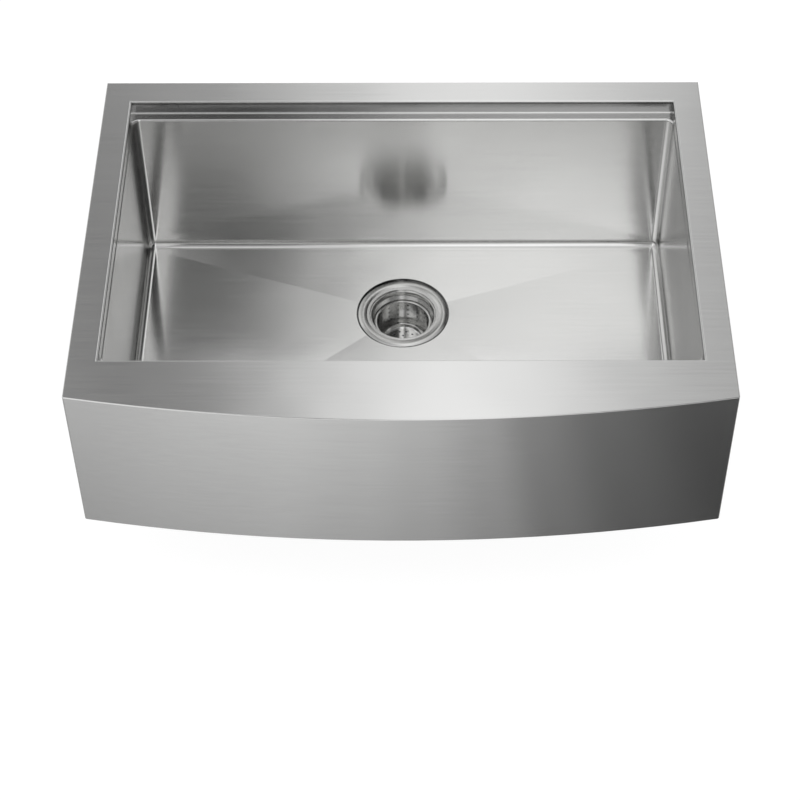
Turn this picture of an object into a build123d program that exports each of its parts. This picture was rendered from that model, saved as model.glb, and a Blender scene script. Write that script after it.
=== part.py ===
"""Apron-front workstation sink in folded stainless sheet, with its basket drain.

All sizes are in millimetres. X runs to the right, Y to the back and Z up. The origin is the
centre of the opening, level with the top of the rim, so nearly everything lies below it.
"""

import os
from math import sqrt

from build123d import *

os.makedirs("parts", exist_ok=True)

# The sheet and the outline seen from above
sheet = 1.5
overall_width = 762.0
corner_depth = 532.4  # from the back edge to the two front corners
apron_bow = 32.8  # how far the apron's middle stands in front of those corners
side_rim = 35.0
back_rim = 37.0
front_deck = 56.5
back_corner_radius = 3.0
front_corner_radius = 3.0
edge_radius = 1.3
fold_radius = 2.5
lip_height = 5.0
overcut = 1.0  # how far a cutting shape reaches past what it cuts

# Roundings of the turned pieces
crisp = 0.3
fine = 0.5
soft = 0.8
easy = 1.5

# The apron and the braces behind it
apron_height = 226.0
apron_return = 50.0
apron_hem = 18.0
brace_x = 190.0
brace_foot = 20.0
brace_top = 40.0
brace_height = 150.0

# The bowl
bowl_depth = 247.0  # from the rim down to the edge of the floor
floor_fall = 4.0
recess_depth = 19.5
ledge_width = 13.8
side_step = 0.6
corner_radius = 9.5
ledge_nose_radius = 2.5
ledge_root_radius = 2.0
least_nose_radius = 0.5
floor_margin = 3.0
flat_share = 0.1  # how much of the floor's width stays level where its folds meet
drain_y = 82.4
drain_recess_radius = 61.0
drain_hole_radius = 45.0
seat_drop = 1.5

# Sound pads and undercoating on the outside of the bowl
pad_thickness = 3.0
pad_corner = 12.0
rear_pad = (420.0, 130.0)
front_pad = (280.0, 110.0)
side_pad = (240.0, 130.0)
bottom_pad = (210.0, 300.0)
wall_pad_depth = 135.0
bottom_pad_x = 205.0
coat_thickness = 0.8
coat_top = 10.0

# The strainer body, as radii and heights under its flange
flange_radius = 59.4
flange_thickness = 1.2
mouth_radius = 43.4
lid_seat_depth = 2.2
throat_radius = 41.6
throat_depth = 9.0
throat_round = 2.5
shoulder_radius = 38.0
shoulder_depth = 13.5
basket_seat_depth = 16.7
cup_radius = 35.8
cup_wall = 1.0
cup_depth = 64.0
cup_round = 8.0
neck_radius = 44.4
neck_depth = 19.0
neck_taper = 3.0
thread_clearance = 0.3

# What clamps the strainer body to the bowl from below
gasket_radius = 57.0
gasket_thickness = 3.0
friction_thickness = 1.0
lock_height = 14.0
lock_base = 3.0
lock_rim = 7.0
lock_shoulder = 5.0
lock_shoulder_fall = 1.5
lock_web = 2.0
lock_foot_radius = 49.5
lock_lugs = 6
lug_size = (7.0, 5.0, 9.0)
lug_root = 0.5

# The outlet under the cup
outlet_radius = 24.0
outlet_bore_radius = 18.0
outlet_length = 30.0
spigot_radius = 20.7
spigot_clearance = 0.3
outlet_washer_radius = 27.0
outlet_washer_thickness = 1.5
outlet_nut_height = 2.0

# The lift-out basket
basket_radius = 34.2
basket_sheet = 0.8
basket_taper = 0.6
basket_rim_radius = 37.4
basket_rim_height = 2.0
basket_height = 43.6
basket_round = 3.8
rest_gap = 0.1
side_hole_radius = 1.25
side_hole_columns = 16
side_hole_rows = 5
side_hole_pitch = 8.4
first_hole_row = 6.3
ring_radius = 28.4
ring_width = 1.8
ring_height = 7.7
ring_lean = 0.4
pan_depth = 5.2
pan_flange = 2.2
floor_hole_radius = 1.3
floor_hole_circles = ((17.5, 12), (10.0, 6))

# The stopper lid, laid on the floor of the bowl in front of the drain
lid_y = -122.0
lid_radius = 43.0
lid_sheet = 1.2
dish_radius = 27.5
dish_top_radius = 31.5
dish_depth = 8.0
dish_round = 1.5
seal_width = 8.5
seal_thickness = 2.0
seal_gap = 1.2
knob_rivet_radius = 2.2
knob_foot_radius = 4.6
knob_foot_height = 2.5
knob_stem_radius = 3.4
knob_stem_height = 9.5
knob_radius = 7.6
knob_flare = 2.0
knob_round = 2.6
knob_height = 17.0

# Sizes that follow from the ones above
half_width = overall_width / 2
opening_width = overall_width - 2 * side_rim
opening_depth = corner_depth - back_rim - front_deck
back_edge_y = opening_depth / 2 + back_rim
front_corner_y = -opening_depth / 2 - front_deck
bow_radius = (half_width**2 + apron_bow**2) / (2 * apron_bow)
bow_centre_y = front_corner_y - apron_bow + bow_radius
tub_half_width = opening_width / 2 - side_step
tub_half_depth = opening_depth / 2 - ledge_width
floor_half_width = tub_half_width - corner_radius - floor_margin
floor_half_depth = tub_half_depth - corner_radius - floor_margin
seat_depth = bowl_depth + floor_fall + seat_drop
flange_depth = seat_depth - flange_thickness
gasket_top = flange_thickness + sheet
friction_top = gasket_top + gasket_thickness
lock_top = friction_top + friction_thickness
basket_top = basket_seat_depth - rest_gap - basket_rim_height
clamp_bore = neck_radius + thread_clearance

# Heights in the drain are measured from the top of the flange, on this upright half plane
drain_plane = Plane(origin=(0, drain_y, -flange_depth), x_dir=(1, 0, 0), z_dir=(0, -1, 0))
drain_axis = Axis((0, drain_y, 0), (0, 0, 1))


def outline_at(inset):
    """Draw the sink's outline seen from above, drawn in by inset."""
    side_x = half_width - inset
    arc_radius = bow_radius - inset
    corner_y = bow_centre_y - sqrt(arc_radius**2 - side_x**2)
    back_y = back_edge_y - inset
    with BuildSketch() as outline:
        with BuildLine():
            ThreePointArc((-side_x, corner_y), (0, bow_centre_y - arc_radius), (side_x, corner_y))
            Polyline((side_x, corner_y), (side_x, back_y), (-side_x, back_y), (-side_x, corner_y))
        make_face()
        corners = outline.vertices().group_by(Axis.Y)
        if front_corner_radius > inset:
            fillet(corners[0], radius=front_corner_radius - inset)
        if back_corner_radius > inset:
            fillet(corners[-1], radius=back_corner_radius - inset)
    return outline.sketch


def bowl_form(grow, top_z):
    """Fill the inside of the bowl up to top_z, grown outwards by grow.

    The difference of two such forms is a layer of the bowl: its sheet, its coating or a pad.
    """
    floor_z = -(bowl_depth + grow)
    ledge_z = -(recess_depth + grow)
    half_x = opening_width / 2 + grow
    nose = ledge_nose_radius - grow
    shelf_half_depth = tub_half_depth + ledge_nose_radius + overcut
    shelf_thickness = ledge_root_radius
    tub_size = (2 * (tub_half_width + grow), 2 * (tub_half_depth + grow))

    with BuildPart() as form:
        # The tub under the ledges, rounded at its upright corners and round its floor
        with BuildSketch(Plane.XY.offset(floor_z)):
            Rectangle(*tub_size)
        extrude(amount=ledge_z - floor_z)
        round_edges = form.edges().filter_by(Axis.Z) + form.edges().group_by(Axis.Z)[0]
        fillet(round_edges, radius=corner_radius + grow)
        # The noses of the ledges flare out under a shelf, which the side walls then cut off
        if nose > least_nose_radius:
            with BuildSketch(Plane.XY.offset(ledge_z)):
                Rectangle(2 * (half_x + ledge_nose_radius), 2 * (shelf_half_depth + grow))
            extrude(amount=shelf_thickness)
            at_ledge = form.edges().filter_by_position(Axis.Z, ledge_z, ledge_z)
            tub_mouth = at_ledge.filter_by(
                lambda edge: abs(edge.center().X) < half_x
                and abs(edge.center().Y) < shelf_half_depth + grow
            )
            fillet(tub_mouth, radius=nose)
            with BuildSketch(Plane.XY.offset(floor_z)):
                Rectangle(2 * half_x, opening_depth + 2 * grow)
            extrude(amount=ledge_z + shelf_thickness - floor_z, mode=Mode.INTERSECT)
    tub = form.part

    with BuildPart() as recess:
        # The recess over the ledges, rounded where it meets them
        with BuildSketch(Plane.XY.offset(ledge_z)):
            Rectangle(2 * half_x, opening_depth + 2 * grow)
        extrude(amount=top_z - ledge_z)
        roots = recess.edges().group_by(Axis.Z)[0].filter_by(Axis.X)
        fillet(roots, radius=ledge_root_radius + grow)

    with BuildPart() as whole:
        add(tub)
        add(recess.part)
        # Four flat planes fall from the edge of the floor and meet in folds at the drain
        with BuildSketch(Plane.XY.offset(floor_z)):
            Rectangle(2 * floor_half_width, 2 * floor_half_depth)
        with BuildSketch(Plane.XY.offset(floor_z - floor_fall * (1 - flat_share))):
            with Locations((0, drain_y * (1 - flat_share))):
                Rectangle(2 * floor_half_width * flat_share, 2 * floor_half_depth * flat_share)
        loft(ruled=True)
        # The round recess that the drain's flange sits in
        with BuildSketch(Plane.XY.offset(-(seat_depth + grow))):
            with Locations((0, drain_y)):
                Circle(drain_recess_radius + grow)
        extrude(amount=seat_depth - bowl_depth + overcut)
    return whole.part


def turn(half_plane, axis, corners):
    """Turn a closed outline of (radius, height, rounding) corners about an axis."""
    points = [corner[:2] for corner in corners]
    roundings = [corner[2] for corner in corners]
    with BuildPart() as turned:
        with BuildSketch(half_plane):
            with BuildLine():
                FilletPolyline(*points, radius=roundings, close=True)
            make_face()
        revolve(axis=axis)
    return turned.part


def flat_ring(inner_radius, outer_radius, top_depth, thickness):
    """Make a flat ring round the drain's axis, top_depth under the flange's top."""
    corners = (
        (inner_radius, -top_depth, 0),
        (outer_radius, -top_depth, 0),
        (outer_radius, -top_depth - thickness, 0),
        (inner_radius, -top_depth - thickness, 0),
    )
    return turn(drain_plane, drain_axis, corners)


def finish(part, name):
    """Label a finished piece and write it to its own file."""
    part.label = name
    export_step(part, f"parts/{name}.step")
    print(name, round(part.volume), part.is_valid)


# Bowl: the sheet between the inside form and the same form grown by the sheet's thickness
with BuildPart() as bowl:
    add(bowl_form(sheet, -lip_height))
    add(bowl_form(0, 0), mode=Mode.SUBTRACT)
    with BuildSketch(Plane.XY.offset(-seat_depth - sheet)):
        with Locations((0, drain_y)):
            Circle(drain_hole_radius)
    extrude(amount=sheet, mode=Mode.SUBTRACT)
finish(bowl.part, "bowl")

# Top frame: rim and front deck in one sheet, with a turned-down lip round the opening
with BuildPart() as top_frame:
    with BuildSketch(Plane.XY.offset(-sheet)):
        add(outline_at(0))
        Rectangle(opening_width, opening_depth, mode=Mode.SUBTRACT)
    extrude(amount=sheet)
    with BuildSketch(Plane.XY.offset(-lip_height)):
        Rectangle(opening_width + 2 * sheet, opening_depth + 2 * sheet)
        Rectangle(opening_width, opening_depth, mode=Mode.SUBTRACT)
    extrude(amount=lip_height)
    fillet(top_frame.faces().sort_by(Axis.Z)[-1].inner_wires()[0].edges(), radius=fold_radius)
    fillet(top_frame.faces().sort_by(Axis.Z)[-1].outer_wire().edges(), radius=edge_radius)
finish(top_frame.part, "top_frame")

# Apron: the bowed front with a return at each side and a hem along the bottom
return_end_y = front_corner_y + apron_return
with BuildPart() as apron_panel:
    with BuildSketch(Plane.XY.offset(-apron_height)):
        add(outline_at(0))
    extrude(amount=apron_height - sheet)
    fillet(apron_panel.faces().sort_by(Axis.Z)[0].outer_wire().edges(), radius=edge_radius)
    with BuildSketch(Plane.XY.offset(-apron_height + sheet)):
        add(outline_at(sheet))
    extrude(amount=apron_height - 2 * sheet, mode=Mode.SUBTRACT)
    with BuildSketch(Plane.XY.offset(-apron_height)):
        add(outline_at(apron_hem))
    extrude(amount=sheet, mode=Mode.SUBTRACT)
    with BuildSketch(Plane.XY.offset(-apron_height)):
        with Locations((0, return_end_y)):
            Rectangle(overall_width, corner_depth, align=(Align.CENTER, Align.MIN))
    extrude(amount=apron_height, mode=Mode.SUBTRACT)
finish(apron_panel.part, "apron_panel")

# Apron braces: folded strips from the bowl's front wall to the inside of the apron
wall_y = -(tub_half_depth + sheet)
for side, name in ((-1, "apron_brace_left"), (1, "apron_brace_right")):
    with BuildPart() as brace:
        with BuildSketch(Plane.XY.offset(-(brace_top + brace_height))):
            add(outline_at(sheet))
            add(outline_at(2 * sheet), mode=Mode.SUBTRACT)
            with Locations((side * (brace_x + brace_foot / 2), wall_y)):
                Rectangle(brace_foot, corner_depth, align=(Align.CENTER, Align.MAX), mode=Mode.INTERSECT)
                Rectangle(brace_foot, sheet, align=(Align.CENTER, Align.MAX))
        extrude(amount=brace_height)
        with BuildSketch(Plane.XY.offset(-(brace_top + brace_height))):
            with Locations((side * (brace_x + sheet / 2), wall_y)):
                Rectangle(sheet, corner_depth, align=(Align.CENTER, Align.MAX))
            add(outline_at(sheet), mode=Mode.INTERSECT)
        extrude(amount=brace_height)
    finish(brace.part, name)

# Sound pads: patches of a layer on the outside of the bowl, each cut out by its own column
pad_reach = sheet + pad_thickness + overcut
wall_pads = (
    ("pad_rear", Plane.XZ.offset(-tub_half_depth), rear_pad, -pad_reach),
    ("pad_front", Plane.XZ.offset(tub_half_depth), front_pad, pad_reach),
    ("pad_left", Plane.YZ.offset(-tub_half_width), side_pad, -pad_reach),
    ("pad_right", Plane.YZ.offset(tub_half_width), side_pad, pad_reach),
)
pad_layer = bowl_form(sheet + pad_thickness, -lip_height) - bowl_form(sheet, -lip_height)
pad_columns = {}
for name, plane, size, reach in wall_pads:
    with BuildPart() as column:
        with BuildSketch(plane):
            with Locations((0, -wall_pad_depth)):
                RectangleRounded(*size, pad_corner)
        extrude(amount=reach)
    pad_columns[name] = column.part
for side, name in ((-1, "pad_bottom_left"), (1, "pad_bottom_right")):
    with BuildPart() as column:
        with BuildSketch(Plane.XY.offset(-bowl_depth)):
            with Locations((side * bottom_pad_x, 0)):
                RectangleRounded(*bottom_pad, pad_corner)
        extrude(amount=-(floor_fall + pad_reach))
    pad_columns[name] = column.part
for name, column_part in pad_columns.items():
    with BuildPart() as pad:
        add(pad_layer)
        add(column_part, mode=Mode.INTERSECT)
    finish(pad.part, name)

# Undercoating: a thin layer over the rest of the outside, clear of pads, braces and drain
with BuildPart() as undercoat:
    add(bowl_form(sheet + coat_thickness, -coat_top))
    add(bowl_form(sheet, -lip_height), mode=Mode.SUBTRACT)
    for column_part in pad_columns.values():
        add(column_part, mode=Mode.SUBTRACT)
    with BuildSketch(Plane.XY.offset(-(brace_top + brace_height))):
        with Locations(*[(side * (brace_x + brace_foot / 2), wall_y) for side in (-1, 1)]):
            Rectangle(brace_foot, 2 * sheet)
    extrude(amount=brace_height, mode=Mode.SUBTRACT)
    with BuildSketch(Plane.XY.offset(-(seat_depth + sheet + 2 * coat_thickness))):
        with Locations((0, drain_y)):
            Circle(drain_recess_radius + sheet)
    extrude(amount=2 * coat_thickness, mode=Mode.SUBTRACT)
finish(undercoat.part, "undercoat")

# Strainer body: flange, step for the lid, threaded neck and deep cup
cup_floor = cup_depth + cup_wall
spigot_bore = spigot_radius + spigot_clearance
strainer_corners = (
    (flange_radius, -flange_thickness, 0),
    (flange_radius, 0, soft),
    (mouth_radius, 0, soft),
    (mouth_radius, -lid_seat_depth, fine),
    (throat_radius, -lid_seat_depth, fine),
    (throat_radius, -throat_depth, throat_round),
    (shoulder_radius, -shoulder_depth, soft),
    (shoulder_radius, -basket_seat_depth, crisp),
    (cup_radius, -basket_seat_depth, crisp),
    (cup_radius, -cup_depth, cup_round),
    (spigot_bore, -cup_depth, 0),
    (spigot_bore, -cup_floor, 0),
    (cup_radius + cup_wall, -cup_floor, cup_round + cup_wall),
    (cup_radius + cup_wall, -neck_depth - neck_taper, 0),
    (neck_radius, -neck_depth, 0),
    (neck_radius, -flange_thickness, 0),
)
finish(turn(drain_plane, drain_axis, strainer_corners), "strainer_body")

# Gasket and friction ring, pressed against the bowl's underside
drain_gasket = flat_ring(clamp_bore, gasket_radius, gasket_top, gasket_thickness)
finish(drain_gasket, "drain_gasket")
friction_ring = flat_ring(clamp_bore, gasket_radius, friction_top, friction_thickness)
finish(friction_ring, "friction_ring")

# Lock ring: a cone that screws up the neck, with lugs to turn it by
lock_foot = lock_top + lock_height
lock_corners = (
    (gasket_radius - lock_rim, -lock_top, 0),
    (gasket_radius, -lock_top, 0),
    (gasket_radius, -lock_top - lock_base, soft),
    (gasket_radius - lock_shoulder, -lock_top - lock_base - lock_shoulder_fall, easy),
    (lock_foot_radius, -lock_foot, soft),
    (clamp_bore, -lock_foot, 0),
    (clamp_bore, -lock_top - lock_base - lock_web, fine),
    (gasket_radius - lock_rim, -lock_top - lock_base, soft),
)
with BuildPart() as lock_ring:
    add(turn(drain_plane, drain_axis, lock_corners))
    with BuildSketch(Plane.XY.offset(-(flange_depth + lock_top + lock_base))):
        with Locations((0, drain_y)):
            with PolarLocations(lock_foot_radius - lug_root, lock_lugs):
                Rectangle(lug_size[0], lug_size[1], align=(Align.MIN, Align.CENTER))
    extrude(amount=-lug_size[2])
finish(lock_ring.part, "lock_ring")

# Outlet: a plastic tube whose spigot comes up through the cup's floor into a flat nut
washer_top = cup_depth - outlet_washer_thickness
nut_top = washer_top - outlet_nut_height
outlet_foot = cup_floor + outlet_length
outlet_corners = (
    (outlet_bore_radius, -nut_top, 0),
    (spigot_radius, -nut_top, crisp),
    (spigot_radius, -cup_floor, 0),
    (outlet_radius, -cup_floor, fine),
    (outlet_radius, -outlet_foot, soft),
    (outlet_bore_radius, -outlet_foot, fine),
)
finish(turn(drain_plane, drain_axis, outlet_corners), "outlet")
outlet_washer = flat_ring(spigot_bore, outlet_washer_radius, washer_top, outlet_washer_thickness)
finish(outlet_washer, "outlet_washer")
outlet_nut = flat_ring(spigot_bore, outlet_washer_radius, nut_top, outlet_nut_height)
finish(outlet_nut, "outlet_nut")

# Basket wall: a tapering perforated side under a rolled rim, turned in at the bottom
basket_bottom = basket_top + basket_height
rim_bottom = basket_top + basket_rim_height
lower_radius = basket_radius - basket_taper
basket_corners = (
    (basket_radius, -basket_top, soft),
    (basket_rim_radius, -basket_top, soft),
    (basket_rim_radius, -rim_bottom, 0),
    (basket_radius + basket_sheet, -rim_bottom, 0),
    (lower_radius + basket_sheet, -basket_bottom, basket_round),
    (ring_radius - ring_lean, -basket_bottom, 0),
    (ring_radius - ring_lean, -basket_bottom + basket_sheet, 0),
    (lower_radius, -basket_bottom + basket_sheet, basket_round - basket_sheet),
)
first_row = basket_top + first_hole_row
hole_rows = [(-(first_row + row * side_hole_pitch), 0) for row in range(side_hole_rows)]
with BuildPart() as basket_wall:
    add(turn(drain_plane, drain_axis, basket_corners))
    for column in range(side_hole_columns // 2):
        angle = (column + 0.5) * 360 / side_hole_columns
        outwards = Vector(1, 0, 0).rotate(Axis.Z, angle)
        with BuildSketch(Plane(drain_plane.origin, x_dir=(0, 0, 1), z_dir=outwards)):
            with Locations(*hole_rows):
                Circle(side_hole_radius)
        extrude(amount=basket_rim_radius, both=True, mode=Mode.SUBTRACT)
finish(basket_wall.part, "basket_wall")

# Basket floor: a pan inside a raised ring, sitting on the wall's turned-in edge
pan_base = basket_bottom - basket_sheet
ring_top = pan_base - ring_height
pan_top = ring_top + pan_depth
pan_underside = pan_top + basket_sheet
ring_inner = ring_radius - ring_width
pan_corners = (
    (0, -pan_underside, 0),
    (ring_radius - basket_sheet, -pan_underside, 0),
    (ring_radius - basket_sheet, -pan_base, 0),
    (ring_radius + pan_flange, -pan_base, 0),
    (ring_radius + pan_flange, -pan_base + basket_sheet, crisp),
    (ring_radius + ring_lean / 2, -pan_base + basket_sheet, crisp),
    (ring_radius - ring_lean / 2, -ring_top, fine),
    (ring_inner, -ring_top, fine),
    (ring_inner - 2 * ring_lean, -pan_top, soft),
    (0, -pan_top, 0),
)
with BuildPart() as basket_floor:
    add(turn(drain_plane, drain_axis, pan_corners))
    with BuildSketch(Plane.XY.offset(-(flange_depth + pan_underside))):
        with Locations((0, drain_y)):
            for circle_radius, hole_count in floor_hole_circles:
                with PolarLocations(circle_radius, hole_count, start_angle=180 / hole_count):
                    Circle(floor_hole_radius)
    extrude(amount=basket_sheet, mode=Mode.SUBTRACT)
finish(basket_floor.part, "basket_floor")

# The lid rests on the front plane of the bowl's floor, so it leans with it
floor_slope = floor_fall / (drain_y + floor_half_depth)
lid_floor_z = -bowl_depth - floor_slope * (lid_y + floor_half_depth)
lid_base = Plane(origin=(0, lid_y, lid_floor_z + rest_gap), x_dir=(1, 0, 0), z_dir=(0, floor_slope, 1))
lid_axis = Axis(lid_base.origin, lid_base.z_dir)
lid_plane = Plane(lid_base.origin, x_dir=lid_base.x_dir, z_dir=-lid_base.y_dir)

# Lid disc: a flat rim round a dish, with a hole for the knob's rivet
rim_top = dish_depth + lid_sheet
disc_corners = (
    (knob_rivet_radius, 0, 0),
    (dish_radius, 0, dish_round + lid_sheet),
    (dish_top_radius, dish_depth, fine),
    (lid_radius, dish_depth, crisp),
    (lid_radius, rim_top, soft),
    (dish_top_radius - lid_sheet, rim_top, fine + lid_sheet),
    (dish_radius - lid_sheet, lid_sheet, dish_round),
    (knob_rivet_radius, lid_sheet, 0),
)
finish(turn(lid_plane, lid_axis, disc_corners), "lid_disc")

# Lid knob: riveted through the dish, with a thin stem and a round head
knob_corners = (
    (0, 0, 0),
    (knob_rivet_radius, 0, 0),
    (knob_rivet_radius, lid_sheet, 0),
    (knob_foot_radius, lid_sheet, crisp),
    (knob_stem_radius, lid_sheet + knob_foot_height, easy),
    (knob_stem_radius, knob_stem_height, easy),
    (knob_radius, knob_stem_height + knob_flare, easy),
    (knob_radius, knob_height, knob_round),
    (0, knob_height, 0),
)
finish(turn(lid_plane, lid_axis, knob_corners), "lid_knob")

# Lid seal: a flat rubber ring under the lid's rim, a little smaller than the drain's throat
seal_outer = throat_radius - seal_gap / 2
seal_corners = (
    (seal_outer - seal_width, dish_depth, 0),
    (seal_outer, dish_depth, 0),
    (seal_outer, dish_depth - seal_thickness, soft),
    (seal_outer - seal_width, dish_depth - seal_thickness, soft),
)
finish(turn(lid_plane, lid_axis, seal_corners), "lid_seal")
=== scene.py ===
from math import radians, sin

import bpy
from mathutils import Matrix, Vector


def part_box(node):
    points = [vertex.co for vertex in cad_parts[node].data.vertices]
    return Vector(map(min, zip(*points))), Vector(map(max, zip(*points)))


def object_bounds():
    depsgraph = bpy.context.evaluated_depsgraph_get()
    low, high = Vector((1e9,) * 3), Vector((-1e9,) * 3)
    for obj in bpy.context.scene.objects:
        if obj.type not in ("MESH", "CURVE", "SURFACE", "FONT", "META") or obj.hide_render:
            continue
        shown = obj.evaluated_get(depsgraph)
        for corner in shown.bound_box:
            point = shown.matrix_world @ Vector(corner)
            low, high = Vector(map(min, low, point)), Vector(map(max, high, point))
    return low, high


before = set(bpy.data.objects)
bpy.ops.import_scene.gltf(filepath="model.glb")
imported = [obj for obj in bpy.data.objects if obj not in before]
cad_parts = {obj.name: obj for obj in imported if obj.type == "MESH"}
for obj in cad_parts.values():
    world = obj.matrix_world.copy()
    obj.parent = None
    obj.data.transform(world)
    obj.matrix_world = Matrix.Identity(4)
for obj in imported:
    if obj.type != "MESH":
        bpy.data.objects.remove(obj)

# Looks of the apron-front workstation sink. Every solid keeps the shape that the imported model
# gives it, and this script adds its finish, the floor, the lights and the camera. Lengths are in
# metres in the model's own frame: X to the right, Y to the back, Z up, with the origin in the
# middle of the opening, level with the rim.

cad_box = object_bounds()
scene = bpy.context.scene
scene.view_settings.view_transform = "Standard"

# Camera, fitted to the photograph's corners
camera_data = bpy.data.cameras.new("camera")
camera_data.sensor_width = 36
camera_data.lens = 95.413
camera_data.shift_y = -0.075
camera = bpy.data.objects.new("camera", camera_data)
camera.location = (0.017657, -1.81363, 1.81618)
camera.rotation_euler = (radians(41.8061), radians(0.3642), radians(0.2521))
scene.collection.objects.link(camera)
scene.camera = camera


def new_material(name):
    """Start a material and return it with its node tree and its shader."""
    material = bpy.data.materials.new(name)
    material.use_nodes = True
    tree = material.node_tree
    return material, tree, tree.nodes["Principled BSDF"]


def add_node(tree, kind, links=None, **values):
    """Add a node, set its properties or its sockets' values by name, and link its inputs."""
    node = tree.nodes.new(kind)
    for key, value in values.items():
        if key in node.inputs:
            node.inputs[key].default_value = value
        else:
            setattr(node, key, value)
    for socket, source in (links or {}).items():
        tree.links.new(source, node.inputs[socket])
    return node


def feed(tree, socket, value):
    """Link a socket to another one, or set it to a number or a colour."""
    if hasattr(value, "node"):
        tree.links.new(value, socket)
    else:
        socket.default_value = value


def math_node(tree, operation, *values):
    """One operation on values, which are sockets or numbers."""
    node = add_node(tree, "ShaderNodeMath", operation=operation)
    for socket, value in zip(node.inputs, values):
        feed(tree, socket, value)
    return node.outputs[0]


def mixed(tree, share, first, second):
    """A colour that turns from first to second as share rises. Both are sockets or colours."""
    mix = add_node(tree, "ShaderNodeMixRGB", {"Fac": share})
    feed(tree, mix.inputs["Color1"], first)
    feed(tree, mix.inputs["Color2"], second)
    return mix.outputs["Color"]


def grey(tone):
    """A plain grey as a colour."""
    return (tone, tone, tone, 1)


def coordinates(tree, place):
    """The X, Y and Z of a place, by name."""
    return add_node(tree, "ShaderNodeSeparateXYZ", {"Vector": place}).outputs


def noise_at(tree, place, size, detail=2.0):
    """Noise whose grains are size = (x, y, z) metres across at a place."""
    mapping = add_node(tree, "ShaderNodeMapping", {"Vector": place}, Scale=[1 / s for s in size])
    scaled = {"Vector": mapping.outputs["Vector"]}
    return add_node(tree, "ShaderNodeTexNoise", scaled, Scale=1.0, Detail=detail).outputs["Fac"]


def set_range(tree, source, low, high, first=0.3, last=0.7):
    """Spread a value's range from first to last over low to high."""
    spread = add_node(tree, "ShaderNodeMapRange", {"Value": source})
    spread.inputs["From Min"].default_value = first
    spread.inputs["From Max"].default_value = last
    spread.inputs["To Min"].default_value = low
    spread.inputs["To Max"].default_value = high
    return spread.outputs["Result"]


def tinted(tree, source, colour, spread):
    """A colour that a noise makes a little darker and lighter."""
    darker = [c * (1 - spread) for c in colour] + [1]
    lighter = [c * (1 + spread) for c in colour] + [1]
    return mixed(tree, set_range(tree, source, 0.0, 1.0), darker, lighter)


def bumped(tree, height, depth, strength=1.0, normal=None):
    """The surface's normal with a height of this depth drawn into it, over an earlier normal."""
    links = {"Height": height}
    if normal:
        links["Normal"] = normal
    bump = add_node(tree, "ShaderNodeBump", links, Strength=strength, Distance=depth)
    return bump.outputs["Normal"]


def brushed(tree, shader, colour, roughness, anisotropy, along, lines):
    """Give a steel its colour and the direction of its brushing, and return its grained normal."""
    quarter_turn = 0.25
    tint_spread = 0.025
    roughness_spread = 0.1
    grain_depth = 0.00005
    shader.inputs["Metallic"].default_value = 1.0
    shader.inputs["Anisotropic"].default_value = anisotropy
    shader.inputs["Anisotropic Rotation"].default_value = quarter_turn
    tree.links.new(along, shader.inputs["Tangent"])
    tree.links.new(tinted(tree, lines, colour, tint_spread), shader.inputs["Base Color"])
    least = roughness * (1 - roughness_spread)
    most = roughness * (1 + roughness_spread)
    tree.links.new(set_range(tree, lines, least, most), shader.inputs["Roughness"])
    return bumped(tree, lines, grain_depth, strength=0.25)


def from_axis(tree, spot, centre_y):
    """How far a place is from the upright axis at X 0 and this Y, and the part of that along Y."""
    away = math_node(tree, "SUBTRACT", spot["Y"], centre_y)
    across = math_node(tree, "MULTIPLY", spot["X"], spot["X"])
    along = math_node(tree, "MULTIPLY", away, away)
    return math_node(tree, "SQRT", math_node(tree, "ADD", across, along)), away


def darkened(tree, shader, unshaded, tone):
    """Mix a darker tone into the steel as painted shade, where the given share is below 1."""
    steel = shader.inputs["Base Color"].links[0].from_socket
    tree.links.new(mixed(tree, unshaded, grey(tone), steel), shader.inputs["Base Color"])


def frame_painted_shade(tree, spot, shader):
    """Painted shade on the turned-down lip below the rim's edge."""
    lip_low = -0.0035
    lip_high = -0.0008
    unshaded = set_range(tree, spot["Z"], 0.0, 1.0, first=lip_low, last=lip_high)
    darkened(tree, shader, unshaded, 0.16)


def bowl_painted_shade(tree, spot, shader):
    """Painted shade on the upstands behind the ledges and round the strainer's flange."""
    # Painted shade on the upstands, the walls between the ledges and the rim
    ledge_inner = 0.2055
    ledge_outer = 0.2075
    ledge_low = -0.0192
    ledge_high = -0.0165
    from_middle = math_node(tree, "ABSOLUTE", spot["Y"])
    inside = set_range(tree, from_middle, 1.0, 0.0, first=ledge_inner, last=ledge_outer)
    below = set_range(tree, spot["Z"], 1.0, 0.0, first=ledge_low, last=ledge_high)
    darkened(tree, shader, math_node(tree, "MAXIMUM", inside, below), 0.4)
    # Painted shade in the recess under the strainer's flange and in the gap round it
    flange_shade_inner = 0.0604
    flange_shade_outer = 0.0616
    radius, away = from_axis(tree, spot, drain_y)
    unshaded = set_range(tree, radius, 0.0, 1.0, first=flange_shade_inner, last=flange_shade_outer)
    darkened(tree, shader, unshaded, 0.12)


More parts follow.
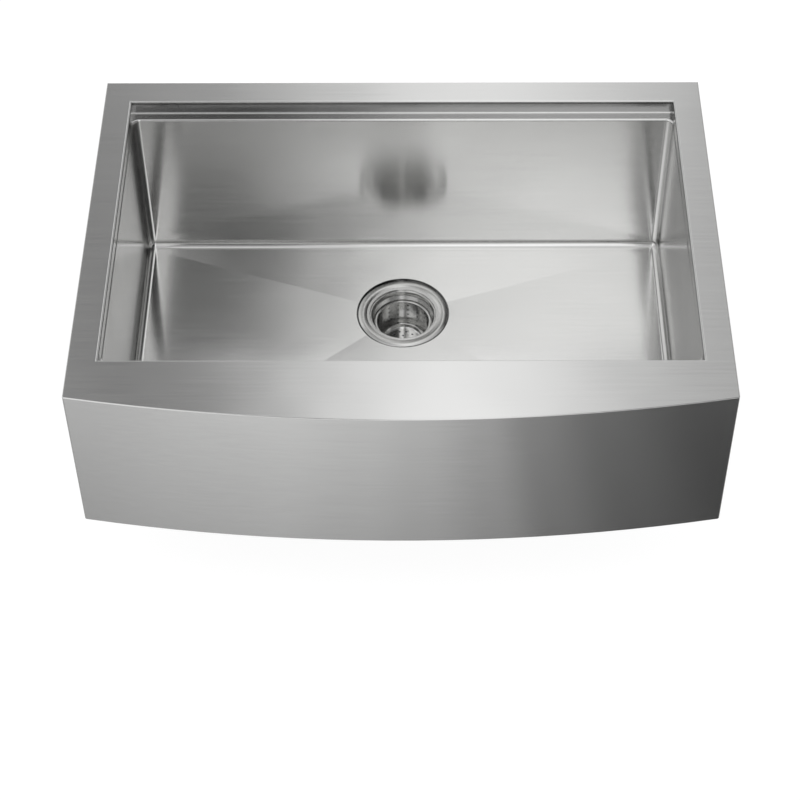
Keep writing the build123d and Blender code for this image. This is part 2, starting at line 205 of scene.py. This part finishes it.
def sheet_steel(name, colour, roughness, anisotropy, details=None):
    """Steel sheet, brushed along X, and along Y on the faces that look to the sides."""
    fine_grain = (0.05, 0.0007, 0.0007)
    broad_grain = (0.14, 0.003, 0.003)
    waves = (0.16, 0.12, 0.12)
    wave_depth = 0.0006
    material, tree, shader = new_material(name)
    texture = add_node(tree, "ShaderNodeTexCoord").outputs
    place = texture["Object"]
    facing = coordinates(tree, texture["Normal"])["X"]
    sideways = math_node(tree, "GREATER_THAN", math_node(tree, "ABSOLUTE", facing), 0.7)
    turned = add_node(
        tree,
        "ShaderNodeVectorRotate",
        {"Vector": place},
        rotation_type="Z_AXIS",
        Angle=radians(90),
    )
    # A Mix node's sockets for vectors share their names with those for other types, so they are
    # taken by number
    laid = add_node(tree, "ShaderNodeMix", {"Factor": sideways}, data_type="VECTOR")
    tree.links.new(place, laid.inputs[4])
    tree.links.new(turned.outputs["Vector"], laid.inputs[5])
    with_grain = laid.outputs[1]
    fine = noise_at(tree, with_grain, fine_grain, 3.0)
    broad = noise_at(tree, with_grain, broad_grain)
    lines = math_node(tree, "MULTIPLY", math_node(tree, "ADD", fine, broad), 0.5)
    along = add_node(tree, "ShaderNodeCombineXYZ", X=1.0, Y=0.12, Z=0.0).outputs["Vector"]
    grain = brushed(tree, shader, colour, roughness, anisotropy, along, lines)
    wavy = noise_at(tree, place, waves, 1.0)
    tree.links.new(bumped(tree, wavy, wave_depth, normal=grain), shader.inputs["Normal"])
    if details:
        details(tree, coordinates(tree, place), shader)
    return material


def turned_steel(name, colour, roughness, anisotropy, centre_y, crowned=False):
    """Steel brushed in circles round an upright axis at X 0, with a flange's crown if asked."""
    ring_grain = (0.0005, 0.0005, 0.006)
    arc_scale = 0.01
    crown_inner = 0.0475
    crown_outer = 0.0594
    crown_height = 0.0011
    material, tree, shader = new_material(name)
    spot = coordinates(tree, add_node(tree, "ShaderNodeTexCoord").outputs["Object"])
    radius, away = from_axis(tree, spot, centre_y)
    sideways = math_node(tree, "DIVIDE", spot["X"], radius)
    arc = math_node(tree, "MULTIPLY", sideways, arc_scale)
    rings = add_node(tree, "ShaderNodeCombineXYZ", {"X": radius, "Y": spot["Z"], "Z": arc})
    lines = noise_at(tree, rings.outputs["Vector"], ring_grain, 3.0)
    aside = math_node(tree, "MULTIPLY", away, -1.0)
    round_axis = add_node(tree, "ShaderNodeCombineXYZ", {"X": aside, "Y": spot["X"]})
    along = round_axis.outputs["Vector"]
    normal = brushed(tree, shader, colour, roughness, anisotropy, along, lines)
    if crowned:
        half_turn = radians(180)
        across = set_range(tree, radius, 0.0, half_turn, first=crown_inner, last=crown_outer)
        crown = math_node(tree, "SINE", across)
        normal = bumped(tree, crown, crown_height, normal=normal)
    tree.links.new(normal, shader.inputs["Normal"])
    return material


def matte(name, colour, roughness, grain, height):
    """Rubber, plastic or coating with a fine uneven skin."""
    material, tree, shader = new_material(name)
    place = add_node(tree, "ShaderNodeTexCoord").outputs["Object"]
    noise = noise_at(tree, place, (grain, grain, grain), 3.0)
    tree.links.new(tinted(tree, noise, colour, 0.15), shader.inputs["Base Color"])
    shader.inputs["Roughness"].default_value = roughness
    tree.links.new(bumped(tree, noise, height, strength=0.5), shader.inputs["Normal"])
    return material


def middle_y(node):
    """The Y halfway between a node's front and back."""
    lowest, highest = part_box(node)
    return (lowest.y + highest.y) / 2


drain_y = middle_y("outlet")
lid_y = middle_y("lid_disc")
steel_grey = (0.8, 0.8, 0.793)
drain_grey = (0.72, 0.72, 0.71)
basket_grey = (0.68, 0.68, 0.67)

# Finishes of the sheet, as roughness and anisotropy
outer_brush = (0.18, 0.87)
bowl_brush = (0.16, 0.85)
sheet = sheet_steel("sheet_steel", steel_grey, *outer_brush)
# The frame's steel carries a painted shade on its turned-down lip
frame_steel = sheet_steel("frame_steel", steel_grey, *outer_brush, details=frame_painted_shade)
# The bowl's steel carries a painted shade on its upstands and round the strainer's flange
bowl = sheet_steel("bowl_steel", steel_grey, *bowl_brush, details=bowl_painted_shade)

# The drain's pieces and the lid are turned steel
drain = turned_steel("drain_steel", drain_grey, 0.2, 0.75, drain_y, crowned=True)
basket = turned_steel("basket_steel", basket_grey, 0.2, 0.6, drain_y)
polished = turned_steel("polished_steel", steel_grey, 0.14, 0.3, drain_y)
lid = turned_steel("lid_steel", steel_grey, 0.22, 0.6, lid_y)

rubber = matte("rubber", (0.03, 0.03, 0.032), roughness=0.7, grain=0.002, height=0.0002)
coat = matte("coat", (0.35, 0.36, 0.37), roughness=0.85, grain=0.0015, height=0.0004)
slate = matte("slate", (0.08, 0.10, 0.13), roughness=0.45, grain=0.001, height=0.0001)
fibre = matte("fibre", (0.5, 0.45, 0.36), roughness=0.8, grain=0.001, height=0.0001)

# The sound pads aren't listed: they and the seals are rubber
finishes = {
    "bowl": bowl,
    "top_frame": frame_steel,
    "apron_panel": sheet,
    "apron_brace_left": sheet,
    "apron_brace_right": sheet,
    "undercoat": coat,
    "strainer_body": drain,
    "basket_wall": basket,
    "basket_floor": polished,
    "lid_disc": lid,
    "lid_knob": lid,
    "friction_ring": fibre,
    "lock_ring": slate,
    "outlet": slate,
    "outlet_nut": slate,
}
for name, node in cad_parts.items():
    node.data.materials.clear()
    node.data.materials.append(finishes.get(name, rubber))


def by_rays(tree, seen, unseen):
    """One value where the camera sees a thing, also in metal or through glass, and one elsewhere."""
    rays = add_node(tree, "ShaderNodeLightPath").outputs
    share = rays["Is Camera Ray"]
    for kind in ("Is Glossy Ray", "Is Transmission Ray"):
        share = math_node(tree, "MAXIMUM", share, rays[kind])
    return set_range(tree, share, unseen, seen, first=0.0, last=1.0)


# Floor, pale and plain: white to the camera and to reflections, and lit by the lamps as well, so
# that it keeps a shadow. It lies a hair below the outlet, so that their faces don't coincide.
floor_gap = 0.0005
bpy.ops.mesh.primitive_plane_add(size=40, location=(0, 0, cad_box[0].z - floor_gap))
floor = bpy.context.object
floor.name = "floor"
floor_material = bpy.data.materials.new("floor")
floor_material.use_nodes = True
tree = floor_material.node_tree
tree.nodes.clear()
glow = by_rays(tree, seen=0.93, unseen=0.4)
white = add_node(tree, "ShaderNodeEmission", {"Strength": glow}, Color=grey(1))
dull = add_node(tree, "ShaderNodeBsdfDiffuse", Color=grey(0.14))
both = add_node(tree, "ShaderNodeAddShader", {0: white.outputs[0], 1: dull.outputs[0]})
add_node(tree, "ShaderNodeOutputMaterial", {"Surface": both.outputs[0]})
floor.data.materials.append(floor_material)

# World: white where it is seen, and a plain pale light elsewhere
world = bpy.data.worlds.new("world")
scene.world = world
world.use_nodes = True
tree = world.node_tree
tree.nodes.clear()
strength = by_rays(tree, seen=1.0, unseen=0.8)
sky = add_node(tree, "ShaderNodeBackground", {"Strength": strength}, Color=grey(1))
add_node(tree, "ShaderNodeOutputWorld", {"Surface": sky.outputs[0]})

# A studio panel glows this many times as strongly as its colours say, since a colour ramp's
# colours end at 1 and some tones are above that
panel_strength = 2.0


def panel_grey(tone):
    """The colour that makes a studio panel glow at a tone, where 1 is white."""
    return grey(tone / panel_strength)


def tone_ramp(tree, share, tones):
    """A soft run of brightness between (place, tone) pairs, as share goes from 0 to 1."""
    ramp = add_node(tree, "ShaderNodeValToRGB", {"Fac": share})
    ramp.color_ramp.interpolation = "EASE"
    elements = ramp.color_ramp.elements
    while len(elements) < len(tones):
        elements.new(0.5)
    first = tones[0][0]
    last = tones[-1][0]
    for element, (place, tone) in zip(elements, tones):
        element.position = (place - first) / (last - first)
    for element, (place, tone) in zip(elements, tones):
        element.color = panel_grey(tone)
    return ramp.outputs["Color"]


def reflections_only(panel):
    """Make a studio panel that only mirror-like surfaces see."""
    panel.visible_camera = False
    panel.visible_diffuse = False
    panel.visible_shadow = False
    panel.visible_transmission = False


def glowing(panel, name, build):
    """Give a studio panel a material that glows with the colour that build makes."""
    material = bpy.data.materials.new(name)
    material.use_nodes = True
    tree = material.node_tree
    tree.nodes.clear()
    glow = add_node(tree, "ShaderNodeEmission", {"Color": build(tree)}, Strength=panel_strength)
    add_node(tree, "ShaderNodeOutputMaterial", {"Surface": glow.outputs[0]})
    panel.data.materials.append(material)


# The studio round the sink, as its steel mirrors it: strip lights and dark flags on a dome, in
# four layers from the horizon up. Places are bearings in degrees, 0 behind the sink, 90 to its
# right and 180 in front.
studio_radius = 18
studio_horizon = [
    (-180, 0.8), (-150, 0.7), (-120, 0.95), (-90, 0.6), (-60, 0.85), (-30, 0.65), (0, 0.9),
    (30, 0.5), (60, 0.6), (90, 0.36), (120, 0.55), (150, 0.45), (180, 0.8),
]
studio_low = [
    (-180, 0.66), (-178, 0.36), (-175.5, 0.09), (-171.5, 0.02), (-167, 0.22), (-161, 0.75),
    (-150, 1.0), (-136, 1.02), (-124, 0.78), (-113, 0.55), (-99, 0.38), (-88, 0.95), (-79, 1.1),
    (-64, 0.65), (-42, 0.42), (-20, 0.5), (-14, 0.28), (-8, 0.35), (-4, 0.5), (0, 0.84),
    (3.5, 0.95), (7, 0.78), (11, 0.58), (16, 0.25), (35, 0.3), (64, 0.03), (150, 0.02),
    (160, 0.1), (165, 0.3), (170, 0.85), (174, 1.02), (180, 0.66),
]
studio_middle = [
    (-180, 1.0), (-178.3, 0.98), (-176.9, 0.72), (-175, 0.34), (-171.5, 0.02), (-167, 0.35),
    (-160, 0.8), (-146, 1.0), (-128, 0.85), (-108, 0.52), (-98, 0.45), (-82, 0.78), (-62, 0.48),
    (-42, 0.33), (-26, 0.33), (-13, 0.13), (-8, 0.29), (-3, 0.69), (1.5, 0.87), (5, 0.76),
    (9, 0.57), (13, 0.35), (50, 0.26), (66, 0.08), (150, 0.03), (158, 0.1), (162, 0.3),
    (166, 0.8), (170, 0.95), (175, 1.05), (180, 1.0),
]
studio_high = [
    (-180, 1.1), (-175, 0.75), (-170, 0.4), (-163, 0.1), (-157, 0.15), (-148, 0.55), (-135, 0.75),
    (-110, 0.6), (-98, 0.5), (-82, 0.9), (-60, 0.58), (-30, 0.42), (-14, 0.35), (-5, 0.75),
    (1, 1.15), (7, 1.2), (14, 0.95), (22, 0.72), (50, 0.62), (70, 0.3), (85, 0.18), (140, 0.22),
    (152, 0.35), (163, 0.95), (172, 1.2), (180, 1.1),
]


def height_at(elevation):
    """How high the dome is at an elevation in degrees."""
    return studio_radius * sin(radians(elevation))


def studio_glow(tree):
    """The dome's tones: each layer takes over from the one below it between two elevations."""
    spot = coordinates(tree, add_node(tree, "ShaderNodeTexCoord").outputs["Object"])
    bearing = math_node(tree, "ARCTAN2", spot["X"], spot["Y"])
    half_turn = radians(180)
    share = set_range(tree, bearing, 0.0, 1.0, first=-half_turn, last=half_turn)
    # The middle layer gets brighter upwards
    lift = set_range(tree, spot["Z"], 1.0, 1.35, first=height_at(46.5), last=height_at(48.7))
    middle = tone_ramp(tree, share, studio_middle)
    lifted = add_node(tree, "ShaderNodeVectorMath", {0: middle, "Scale": lift}, operation="SCALE")
    layers = (
        (tone_ramp(tree, share, studio_low), 22, 30),
        (lifted.outputs["Vector"], 42.5, 45.5),
        (tone_ramp(tree, share, studio_high), 54, 66),
        (panel_grey(0.8), 68, 84),
    )
    colour = tone_ramp(tree, share, studio_horizon)
    for layer, lowest, highest in layers:
        low = height_at(lowest)
        high = height_at(highest)
        colour = mixed(tree, set_range(tree, spot["Z"], 0.0, 1.0, low, high), colour, layer)
    return colour


bpy.ops.mesh.primitive_uv_sphere_add(segments=64, ring_count=32, radius=studio_radius)
studio = bpy.context.object
studio.name = "studio"
reflections_only(studio)
glowing(studio, "studio", studio_glow)

# What the steel mirrors below it: a card that stands in for the floor there, as a painted
# reflection. It gets lighter to the left and further away in front of the apron, is plain beside and
# behind the sink, and is as white as the real floor further out. Its darker tones near and under the
# sink are a painted shadow.
# Places are along X.
card_reach = 1.5
floor_tones = [
    (-0.8, 0.52), (-0.5, 0.58), (-0.3, 0.64), (-0.18, 0.66), (-0.06, 0.6), (0.03, 0.53),
    (0.13, 0.41), (0.21, 0.26), (0.32, 0.16), (0.48, 0.08), (0.8, 0.05),
]


def floor_glow(tree):
    """The card's tones in front of the apron, behind it, and far out."""
    spot = coordinates(tree, add_node(tree, "ShaderNodeTexCoord").outputs["Object"])
    left = floor_tones[0][0]
    right = floor_tones[-1][0]
    share = set_range(tree, spot["X"], 0.0, 1.0, first=left, last=right)
    tones = tone_ramp(tree, share, floor_tones)
    level = set_range(tree, spot["Y"], 1.5, 0.42, first=-1.0, last=-0.2)
    front = add_node(tree, "ShaderNodeVectorMath", {0: tones, "Scale": level}, operation="SCALE")
    behind = set_range(tree, spot["Y"], 0.0, 1.0, first=-0.33, last=-0.2)
    near = mixed(tree, behind, front.outputs["Vector"], panel_grey(0.54))
    radius, away = from_axis(tree, spot, 0.0)
    outside = set_range(tree, radius, 0.0, 1.0, first=0.95, last=card_reach)
    return mixed(tree, outside, near, panel_grey(0.93))


card_gap = 0.001
card_z = cad_box[0].z + card_gap
corners = [
    (-card_reach, -card_reach, card_z),
    (card_reach, -card_reach, card_z),
    (card_reach, card_reach, card_z),
    (-card_reach, card_reach, card_z),
]
card = bpy.data.meshes.new("card")
card.from_pydata(corners, [], [(0, 1, 2, 3)])
floor_card = bpy.data.objects.new("floor_card", card)
scene.collection.objects.link(floor_card)
reflections_only(floor_card)
glowing(floor_card, "floor_card", floor_glow)

# One large soft lamp from the upper left front, which the steel doesn't mirror
key_data = bpy.data.lights.new("key", "AREA")
key_data.shape = "SQUARE"
key_data.size = 2.0
key_data.energy = 25
key = bpy.data.objects.new("key", key_data)
key.location = (-0.8, -0.8, 3.0)
key.rotation_euler = (-Vector(key.location)).to_track_quat("-Z", "Y").to_euler()
key.visible_glossy = False
scene.collection.objects.link(key)
